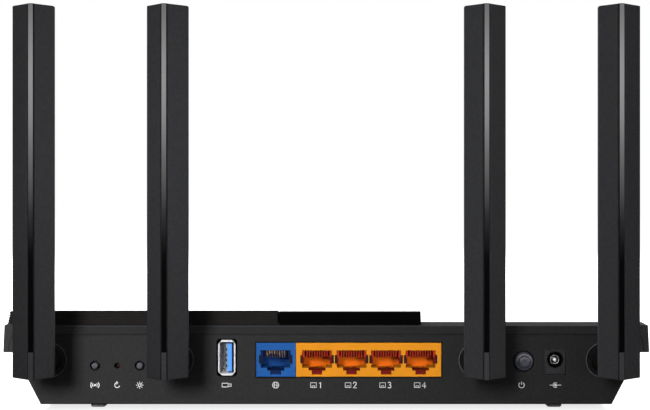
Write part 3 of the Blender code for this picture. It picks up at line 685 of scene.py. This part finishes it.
def make_buttons():
    """Each button's cap on the wall and its stem behind it, black as painted shade in the gap
    round the cap.
    """
    small_cap = [(0.35, -0.74), (0.8, -0.7), (1.08, -0.58), (1.24, -0.38), (1.3, -0.1),
                 (1.3, 2.2)]
    small_stem = [(1.25, 1.6), (1.25, 2.3), (2.4, 2.3), (2.4, 3.3), (1.0, 3.3), (1.0, 5.0)]
    for name, x in (("pairing_button", PAIRING_X), ("lights_button", LIGHTS_X)):
        centre = (x, CONTROL_HEIGHT)
        add_piece(name + "_cap", turned(small_cap, "Y", centre), MATERIALS["small_button"],
                  name, [name])
        # Black stems: painted shade in the gap round the cap.
        add_piece(name + "_stem", turned(small_stem, "Y", centre), MATERIALS["jack_black"],
                  name)
    large_cap = [(1.2, -2.32), (1.9, -2.3), (2.2, -2.2), (2.35, -2.0), (2.42, -1.7),
                 (2.5, -1.38), (2.75, -1.3), (3.1, -1.32), (3.45, -1.2), (3.65, -0.95),
                 (3.76, -0.6), (3.8, -0.3), (3.8, 2.2)]
    large_stem = [(3.7, 1.4), (3.7, 2.3), (4.9, 2.3), (4.9, 3.3), (1.6, 3.3), (1.6, 6.0)]
    centre = (POWER_X, POWER_HEIGHT)
    add_piece("power_button_cap", turned(large_cap, "Y", centre, 64), MATERIALS["button"],
              "power_button", ["power_button"])
    # A black stem: painted shade in the gap round the cap.
    add_piece("power_button_stem", turned(large_stem, "Y", centre, 64),
              MATERIALS["jack_black"], "power_button")
    symbol = power_symbol(1.1, 0.26)
    add_piece("power_button_symbol", print_shape(symbol, POWER_X, POWER_HEIGHT, -2.36, 0.1),
              MATERIALS["small_button"], "power_button")


# ---------------------------------------------------------------------------------- printing

DIGITS = {
    1: [[(-0.45, 0.7), (0.1, 1.2), (0.1, -1.2)]],
    2: [[(-0.65, 0.6), (-0.45, 1.05), (0.0, 1.2), (0.5, 1.0), (0.6, 0.55), (0.35, 0.05),
         (-0.65, -1.1), (0.7, -1.1)]],
    3: [[(-0.6, 0.95), (0.0, 1.2), (0.5, 0.95), (0.5, 0.4), (0.0, 0.1)],
        [(0.0, 0.1), (0.6, -0.25), (0.6, -0.85), (0.0, -1.2), (-0.6, -0.95)]],
    4: [[(0.3, -1.2), (0.3, 1.2), (-0.75, -0.45), (0.8, -0.45)]],
}


def stroke(points, width):
    """A flat ribbon along points in the wall's plane, with square ends."""
    left, right = [], []
    for i, here in enumerate(points):
        a = points[max(i - 1, 0)]
        b = points[min(i + 1, len(points) - 1)]
        length = math.hypot(b[0] - a[0], b[1] - a[1])
        nx, ny = (a[1] - b[1]) / length * width / 2, (b[0] - a[0]) / length * width / 2
        left.append((here[0] + nx, here[1] + ny))
        right.append((here[0] - nx, here[1] - ny))
    return left, right


def arc(radius, start, end, steps):
    """Points along an arc between two angles in degrees."""
    angles = [math.radians(start + (end - start) * i / steps) for i in range(steps + 1)]
    return [(radius * math.cos(angle), radius * math.sin(angle)) for angle in angles]


def print_shape(strokes, x, height, front, thickness):
    """Ribbons as one thin raised mesh at a place on the wall."""
    shapes = []
    for left, right in strokes:
        rings = []
        for a, b in zip(left, right):
            rings.append([(x + a[0], front, height + a[1]), (x + b[0], front, height + b[1]),
                          (x + b[0], front + thickness, height + b[1]),
                          (x + a[0], front + thickness, height + a[1])])
        shapes.append(loft(rings))
    return together(shapes)


def power_symbol(radius, width):
    bar = [(0, radius * 0.15), (0, radius * 1.25)]
    return [stroke(arc(radius, 125, 415, 24), width), stroke(bar, width)]


def ring_symbol(radius, width):
    return stroke(arc(radius, 0, 360, 24), width)


def radio_symbol():
    marks = [ring_symbol(0.22, 0.4)]
    for radius in (0.95, 1.7):
        marks.append(stroke(arc(radius, -42, 42, 10), 0.3))
        marks.append(stroke(arc(radius, 138, 222, 10), 0.3))
    return marks


def restart_symbol():
    return [stroke(arc(1.0, 75, 345, 20), 0.3),
            stroke([(-0.35, 1.55), (0.35, 0.97), (-0.3, 0.4)], 0.28)]


def lamp_symbol():
    marks = [ring_symbol(0.55, 0.28)]
    for number in range(8):
        angle = math.pi / 4 * number
        marks.append(stroke([(0.95 * math.cos(angle), 0.95 * math.sin(angle)),
                             (1.45 * math.cos(angle), 1.45 * math.sin(angle))], 0.26))
    return marks


def plug_symbol():
    body = [(-1.9, -0.75), (-1.9, 0.75), (0.5, 0.75), (0.5, -0.75), (-1.9, -0.75)]
    tip = [(0.5, 0.45), (1.8, 0.45), (1.8, -0.45), (0.5, -0.45)]
    return [stroke(body, 0.28), stroke(tip, 0.28)]


def socket_symbol(number):
    """A small socket outline and the socket's number."""
    outline = [(-2.6, -0.95), (-2.6, 0.95), (-0.3, 0.95), (-0.3, -0.95), (-2.6, -0.95)]
    latch = [(-1.95, -0.95), (-1.95, -0.25), (-0.95, -0.25), (-0.95, -0.95)]
    digit = [[(x + 1.3, h) for x, h in points] for points in DIGITS[number]]
    return [stroke(outline, 0.26), stroke(latch, 0.24)] + [stroke(line, 0.34) for line in digit]


def globe_symbol():
    turns = [math.pi * 2 * i / 24 for i in range(25)]
    tall = [(0.55 * math.cos(turn), 1.25 * math.sin(turn)) for turn in turns]
    return [ring_symbol(1.25, 0.26), stroke(tall, 0.22), stroke([(-1.25, 0), (1.25, 0)], 0.22)]


def inlet_symbol():
    return [ring_symbol(0.3, 0.5), stroke(arc(0.95, 50, 310, 16), 0.26),
            stroke([(-2.3, 0), (-1.0, 0)], 0.26), stroke([(0.4, 0), (2.3, 0)], 0.26)]


def make_prints():
    """A plain mark below each control and socket."""
    marks = {
        "pairing": (radio_symbol(), PAIRING_X),
        "reset": (restart_symbol(), RESET_X),
        "lights": (lamp_symbol(), LIGHTS_X),
        "usb": (plug_symbol(), USB_X),
        "wan": (globe_symbol(), WAN_PORT_X),
        "power": (power_symbol(1.1, 0.3), POWER_X - 0.85),
        "inlet": (inlet_symbol(), DC_HOLE_X),
    }
    for number, x in enumerate(LAN_PORTS_X, 1):
        marks["lan_%d" % number] = (socket_symbol(number), x)
    for name, (strokes, x) in marks.items():
        add_piece("print_" + name, print_shape(strokes, x, LABEL_HEIGHT, -0.04, 0.1),
                  MATERIALS["white"])


# --------------------------------------------------------------------------------- antennas

def antenna_section(centre):
    """The blade's outline from its front ridge round its back, with a seat for the strip."""
    half, edge, side, back, back_half = 7.9, 21.8, 19.8, 12.5, 5.2
    seat = 1.35
    return [(-half, -edge), (-half, -side), (-back_half, -back), (back_half, -back),
            (half, -side), (half, -edge), (centre + seat, -24.1), (centre + seat, -23.2),
            (centre - seat, -23.2), (centre - seat, -24.1)]


def blade_shape(x, centre):
    """The blade, whose two ends run out toward its front ridge."""
    section = antenna_section(centre - x)
    count = len(section)

    def ring(level, rise):
        return [(x + px, d, PIVOT_HEIGHT + level + (rise if d < RIDGE_START else 0.0))
                for px, d in section]

    points = ring(ANTENNA_BOTTOM, -RIDGE_RISE) + ring(ANTENNA_TOP, RIDGE_RISE)
    faces = []
    for start in (0, count):
        faces.append(tuple(start + i for i in range(6)))
        faces.append((start + 5, start + 6, start + 9, start))
        faces.append((start + 6, start + 7, start + 8, start + 9))
    faces += [(i, (i + 1) % count, count + (i + 1) % count, count + i) for i in range(count)]
    return points, faces


def make_antenna(number, x):
    """A blade with its hinge slot, and the two strips seated along its front ridge over a black
    sheet that paints the shade in their seat.
    """
    name = "antenna_%d" % number
    centre = STRIP_X[number - 1]
    blade = add_piece(name + "_blade_skin", blade_shape(x, centre), MATERIALS["blade"], name,
                      [name + "_blade"], bevel=0.4)
    slot = box((x - 3.4, -20.7, PIVOT_HEIGHT - 20.0), (x + 3.4, 5.0, PIVOT_HEIGHT + 4.4))
    cut_away(blade, slot)
    strips = (("gloss_strip", GLOSS_STRIP_BOTTOM, ANTENNA_TOP + RIDGE_RISE, "gloss", "gloss",
               "strip"),
              ("lower_strip", ANTENNA_BOTTOM - RIDGE_RISE, LOWER_STRIP_TOP, "base",
               "antenna_base", "base_strip"))
    for piece, low, high, material, slot_name, node in strips:
        shape = box((centre - STRIP_HALF_WIDTH, STRIP_FRONT, PIVOT_HEIGHT + low),
                    (centre + STRIP_HALF_WIDTH, STRIP_BACK, PIVOT_HEIGHT + high))
        add_piece("%s_%s" % (name, piece), shape, MATERIALS[material], name,
                  ["%s_%s" % (name, node)], bevel=0.26, segments=2)
    # A black sheet in the strip's seat: painted shade beside the strip.
    seat_shade = box((centre - 1.33, -23.7, PIVOT_HEIGHT + ANTENNA_BOTTOM + 0.2),
                 (centre + 1.33, -23.15, PIVOT_HEIGHT + ANTENNA_TOP - 0.2))
    add_piece(name + "_strip_seat", seat_shade, MATERIALS["jack_black"], name)
    paint(name + "_swivel", MATERIALS["swivel"])
    paint(name + "_hinge_pin", MATERIALS["steel"])


# -------------------------------------------------------------------------------- top panels

def crest_line(d):
    """Height of the cover's top at a distance in front of the wall."""
    return CREST_HEIGHT - TOP_SLOPE * (d - CREST_DISTANCE)


def deck_line(d):
    """Height of the ribbed deck's top at a distance in front of the wall."""
    return DECK_TOP - DECK_SLOPE * (d - 5.0)


def make_deck_louvres():
    """The deck's body, with stacked louvre edges all round."""
    layers, groove, lean, foot = 5, 0.25, 0.95, 31.4
    middle = ((DECK_LEFT + DECK_RIGHT) / 2, (DECK_FRONT + DECK_REAR) / 2)

    def under(d):
        if d < CREST_DISTANCE:
            climb = (CREST_HEIGHT - 31.05) / (CREST_DISTANCE - DECK_REAR)
            return foot + (d - DECK_REAR) * climb
        return crest_line(d) + 0.35

    def ring(level, shrink):
        plan = rounded_rectangle((DECK_RIGHT - DECK_LEFT) / 2 - shrink,
                                 (DECK_FRONT - DECK_REAR) / 2 - shrink, 0.5, middle, 4)
        points = []
        for x, d in plan:
            low, high = under(d), deck_line(d) - 0.05
            shift = lean * level if x < middle[0] else 0.0
            points.append((x + shift, d, low + (high - low) * level))
        return points

    rings = []
    for layer in range(layers):
        start = layer / layers
        for share, shrink in ((0.0, 0.0), (0.62, 0.0), (0.68, groove), (0.94, groove)):
            rings.append(ring(start + share / layers, shrink))
    rings.append(ring(0.985, 0.0))
    rings.append(ring(1.0, 0.12))
    add_piece("deck_louvres", loft(rings), MATERIALS["deck"],
              replaces=["ribbed_deck"], smooth=25.0)


def make_deck_ribs():
    """Low ribs from side to side over the deck's top."""
    pitch, land, flank, margin = 2.4, 1.5, 0.2, 1.2
    valley, ridge, depth = -0.05, 0.22, 0.9
    outline = []
    d = DECK_REAR + margin
    while d + pitch < DECK_FRONT - margin:
        outline += [(d, deck_line(d) + valley), (d + flank, deck_line(d) + ridge),
                    (d + land, deck_line(d + land) + ridge),
                    (d + land + flank, deck_line(d + land) + valley)]
        d += pitch
    outline += [(DECK_FRONT - margin, deck_line(DECK_FRONT) - depth),
                (DECK_REAR + margin, DECK_TOP - depth)]
    add_piece("deck_cross_ribs", prism(outline, "X", DECK_LEFT + 2.2, DECK_RIGHT - 0.12),
              MATERIALS["deck_top"], smooth=25.0)


def make_edge_ribs():
    """Fine ribs along the top cover's rear bevel."""
    start, end, out = (0.25, 28.25), (3.3, 30.68), (-0.623, 0.782)
    ribs, valley, ridge = 7, 0.02, 0.14
    outline = []
    for number in range(ribs):
        for part, rise in ((0.0, valley), (0.12, ridge), (0.55, ridge), (0.67, valley)):
            t = (number + part) / ribs
            outline.append((start[0] + (end[0] - start[0]) * t + out[0] * rise,
                            start[1] + (end[1] - start[1]) * t + out[1] * rise))
    outline += [(end[0] + 0.3, end[1] - 0.4), (start[0] + 0.3, start[1] - 0.2)]
    add_piece("cover_edge_ribs", prism(outline, "X", -128.9, 128.9), MATERIALS["case"],
              smooth=25.0)


def make_cover_seam():
    """The fine bead between the rear bevel and the cover's top, in a lighter grey as painted
    highlight, and a black stroke in each ear as the painted shade of a groove.
    """
    # The bead takes the lighter antenna-base grey, a painted highlight along the crest.
    bead = circle(0.3, 12, (3.5, 30.72))
    add_piece("cover_rear_bead", prism(bead, "X", -125.9, 125.9), MATERIALS["base"])
    # A black stroke in each ear: the painted shade of a groove.
    curve = [(126.9, 27.6), (127.45, 26.6), (127.9, 25.3), (128.2, 23.8), (128.3, 22.3),
             (128.3, 20.9)]
    for name, side in (("left", -1), ("right", 1)):
        line = [(side * x, h) for x, h in curve]
        add_piece("ear_groove_" + name, print_shape([stroke(line, 0.3)], 0.0, 0.0, -0.03, 0.1),
                  MATERIALS["jack_black"])


def paint_the_rest():
    """Materials of the CAD pieces that are shown as they are."""
    looks = {"bottom_housing": "case", "top_cover": "cover", "gloss_panel": "gloss",
             "indicator_lens": "lens", "main_board": "board", "heat_sink": "aluminium",
             "reset_plunger": "plunger"}
    for side in ("left", "right"):
        looks["radio_shield_" + side] = "tin"
        for place in ("front", "rear"):
            looks["foot_%s_%s" % (place, side)] = "rubber"
            looks["case_screw_%s_%s" % (place, side)] = "steel"
    for control in ("pairing", "lights", "reset", "power"):
        looks[control + "_switch"] = "jack_black"
    for number in range(1, 5):
        looks["antenna_lead_%d" % number] = "lead"
    for node, material in looks.items():
        paint(node, MATERIALS[material])


# ------------------------------------------------------------------------ camera and studio

def add_camera():
    """A level camera on the connector wall's side."""
    data = bpy.data.cameras.new("camera")
    data.sensor_width = 36.0
    data.lens = FOCAL_LENGTH
    data.clip_start = 0.01
    camera = bpy.data.objects.new("camera", data)
    camera.location = in_scene(CAMERA_X, -CAMERA_DISTANCE, CAMERA_HEIGHT)
    camera.rotation_euler = (math.pi / 2, 0.0, 0.0)
    bpy.context.scene.collection.objects.link(camera)
    bpy.context.scene.camera = camera


def add_floor():
    """A plain pale floor that takes the object's shadow and stays out of its reflections."""
    mesh = bpy.data.meshes.new("floor")
    size = 6.0
    corners = [(x, y, 0) for x, y in rectangle(-size, -size, size, size)]
    mesh.from_pydata(corners, [], [(0, 1, 2, 3)])
    material = bpy.data.materials.new("pale_floor")
    material.use_nodes = True
    shader = material.node_tree.nodes["Principled BSDF"]
    looks = {"Base Color": (0.62, 0.62, 0.62, 1.0), "Roughness": 0.9, "Specular IOR Level": 0.0,
             "Emission Color": (1.0, 1.0, 1.0, 1.0), "Emission Strength": FLOOR_GLOW}
    for key, value in looks.items():
        shader.inputs[key].default_value = value
    mesh.materials.append(material)
    floor = bpy.data.objects.new("floor", mesh)
    floor.visible_glossy = False
    floor.visible_diffuse = False
    bpy.context.scene.collection.objects.link(floor)


def add_studio_world():
    """White all round, with a wide soft band of light in front, as a big softbox gives."""
    world = bpy.data.worlds.new("studio")
    bpy.context.scene.world = world
    world.use_nodes = True
    tree = world.node_tree
    tree.nodes.clear()
    link = tree.links.new

    def math_node(operation, first, second=None):
        node = tree.nodes.new("ShaderNodeMath")
        node.operation = operation
        for place, value in enumerate((first, second)):
            if value is None:
                continue
            if isinstance(value, (int, float)):
                node.inputs[place].default_value = value
            else:
                link(value, node.inputs[place])
        return node.outputs[0]

    def ramp(value, stops, low, high):
        spread = tree.nodes.new("ShaderNodeMapRange")
        spread.inputs["From Min"].default_value = low
        spread.inputs["From Max"].default_value = high
        link(value, spread.inputs["Value"])
        made = tree.nodes.new("ShaderNodeValToRGB")
        elements = made.color_ramp.elements
        elements[1].position = (stops[-1][0] - low) / (high - low)
        elements[1].color = (*[stops[-1][1]] * 3, 1.0)
        elements[0].position = (stops[0][0] - low) / (high - low)
        elements[0].color = (*[stops[0][1]] * 3, 1.0)
        for place, grey in stops[1:-1]:
            element = elements.new((place - low) / (high - low))
            element.color = (grey, grey, grey, 1.0)
        link(spread.outputs["Result"], made.inputs["Fac"])
        return made.outputs["Color"]

    direction = tree.nodes.new("ShaderNodeTexCoord").outputs["Generated"]
    parts = tree.nodes.new("ShaderNodeSeparateXYZ")
    link(direction, parts.inputs["Vector"])
    rays = tree.nodes.new("ShaderNodeLightPath")
    # Sine of elevation against brightness: dark below the horizon, full at about 7 degrees.
    band = ramp(parts.outputs["Z"],
                [(-0.05, 0.0), (-0.035, 0.025), (-0.011, 0.085), (0.0, 0.155), (0.024, 0.32),
                 (0.05, 0.48), (0.085, 0.83), (0.12, 1.0), (0.145, 0.96), (0.19, 0.6),
                 (0.27, 0.12), (0.34, 0.0)], -0.1, 0.4)
    overhead = ramp(parts.outputs["Z"], [(0.3, 0.0), (0.5, 1.0), (0.85, 1.0), (1.0, 0.6)],
                    0.0, 1.0)
    frontal = ramp(parts.outputs["Y"], [(-0.85, 1.0), (-0.6, 0.75), (-0.3, 0.18), (0.2, 0.13)],
                   -1.0, 1.0)
    mirrored = math_node("MULTIPLY", math_node("MULTIPLY", band, frontal), BAND_STRENGTH)
    scattered = math_node("ADD", math_node("MULTIPLY", overhead, SKY_STRENGTH), FILL_STRENGTH)
    glossy = rays.outputs["Is Glossy Ray"]
    lighting = math_node("ADD", math_node("MULTIPLY", glossy, mirrored),
                         math_node("MULTIPLY", math_node("SUBTRACT", 1.0, glossy), scattered))
    sky_glint = math_node("MULTIPLY", math_node("MULTIPLY", glossy, overhead), SKY_STRENGTH)
    lighting = math_node("ADD", lighting, sky_glint)
    seen = tree.nodes.new("ShaderNodeBackground")
    lit = tree.nodes.new("ShaderNodeBackground")
    seen.inputs["Color"].default_value = (1.0, 1.0, 1.0, 1.0)
    lit.inputs["Color"].default_value = (1.0, 1.0, 1.0, 1.0)
    link(lighting, lit.inputs["Strength"])
    mix = tree.nodes.new("ShaderNodeMixShader")
    link(rays.outputs["Is Camera Ray"], mix.inputs["Fac"])
    link(lit.outputs["Background"], mix.inputs[1])
    link(seen.outputs["Background"], mix.inputs[2])
    output = tree.nodes.new("ShaderNodeOutputWorld")
    link(mix.outputs["Shader"], output.inputs["Surface"])


def group_of(pieces, name):
    """A collection of pieces, for a light to shine on them alone."""
    group = bpy.data.collections.new(name)
    for piece in pieces:
        group.objects.link(piece)
    return group


def add_light(name, place, aim, size, power, receivers=None, spread=180.0):
    """A soft area light, with places in the case's frame, for some pieces or for all."""
    data = bpy.data.lights.new(name, "AREA")
    data.size = size * MM
    data.energy = power
    data.spread = math.radians(spread)
    light = bpy.data.objects.new(name, data)
    at = Vector(in_scene(*place))
    target = Vector(in_scene(*aim))
    light.location = at
    light.rotation_euler = (target - at).to_track_quat("-Z", "Y").to_euler()
    light.visible_glossy = False
    bpy.context.scene.collection.objects.link(light)
    if receivers:
        light.light_linking.receiver_collection = receivers


def add_lights():
    """Soft lights for the wall, its sockets and each pair of antennas, and two for the back."""
    shown = [piece for piece in bpy.context.scene.objects
             if piece.type == "MESH" and not piece.hide_render]
    antenna_pieces = [piece for piece in shown if piece.name.startswith("antenna_")
                      and "lead" not in piece.name and "swivel" not in piece.name]
    case_pieces = [piece for piece in shown if piece not in antenna_pieces]
    add_light("wall_softbox", (-208.0, -600.0, 238.0), (-95.0, 0.0, 15.0), 160.0, WALL_LIGHT,
              group_of(case_pieces, "lit_by_wall_softbox"), spread=50.0)
    sockets = [piece for piece in case_pieces if "_socket" in piece.name
               and piece.name.startswith(("wan_", "lan_", "dc_socket_sleeve", "dc_socket_pin"))]
    add_light("socket_softbox", (95.0, -200.0, 30.0), (15.0, 0.0, 17.0), 40.0, SOCKET_LIGHT,
              group_of(sockets, "lit_by_socket_softbox"))
    left_pair = [piece for piece in antenna_pieces if piece.name[8] in "12"]
    right_pair = [piece for piece in antenna_pieces if piece.name[8] in "34"]
    add_light("left_antenna_softbox", (-48.0, -190.0, 100.0), (-87.0, -20.0, 88.0), 90.0,
              LEFT_ANTENNA_LIGHT, group_of(left_pair, "lit_by_left_antenna_softbox"))
    add_light("right_antenna_softbox", (-80.0, -324.0, 100.0), (87.0, -20.0, 88.0), 90.0,
              RIGHT_ANTENNA_LIGHT, group_of(right_pair, "lit_by_right_antenna_softbox"))
    add_light("far_left_softbox", (-700.0, 700.0, 600.0), (0.0, 60.0, 0.0), 500.0, FAR_LIGHT)
    add_light("far_right_softbox", (700.0, 800.0, 500.0), (0.0, 60.0, 0.0), 500.0, FAR_LIGHT)


def main():
    add_camera()
    make_rear_panel()
    make_network_jacks()
    make_usb_socket()
    make_power_socket()
    make_buttons()
    make_prints()
    for number, x in enumerate(ANTENNA_X, 1):
        make_antenna(number, x)
    make_deck_louvres()
    make_deck_ribs()
    make_edge_ribs()
    make_cover_seam()
    paint_the_rest()
    add_lights()
    add_floor()
    add_studio_world()
    bpy.context.scene.view_settings.view_transform = "Standard"


main()
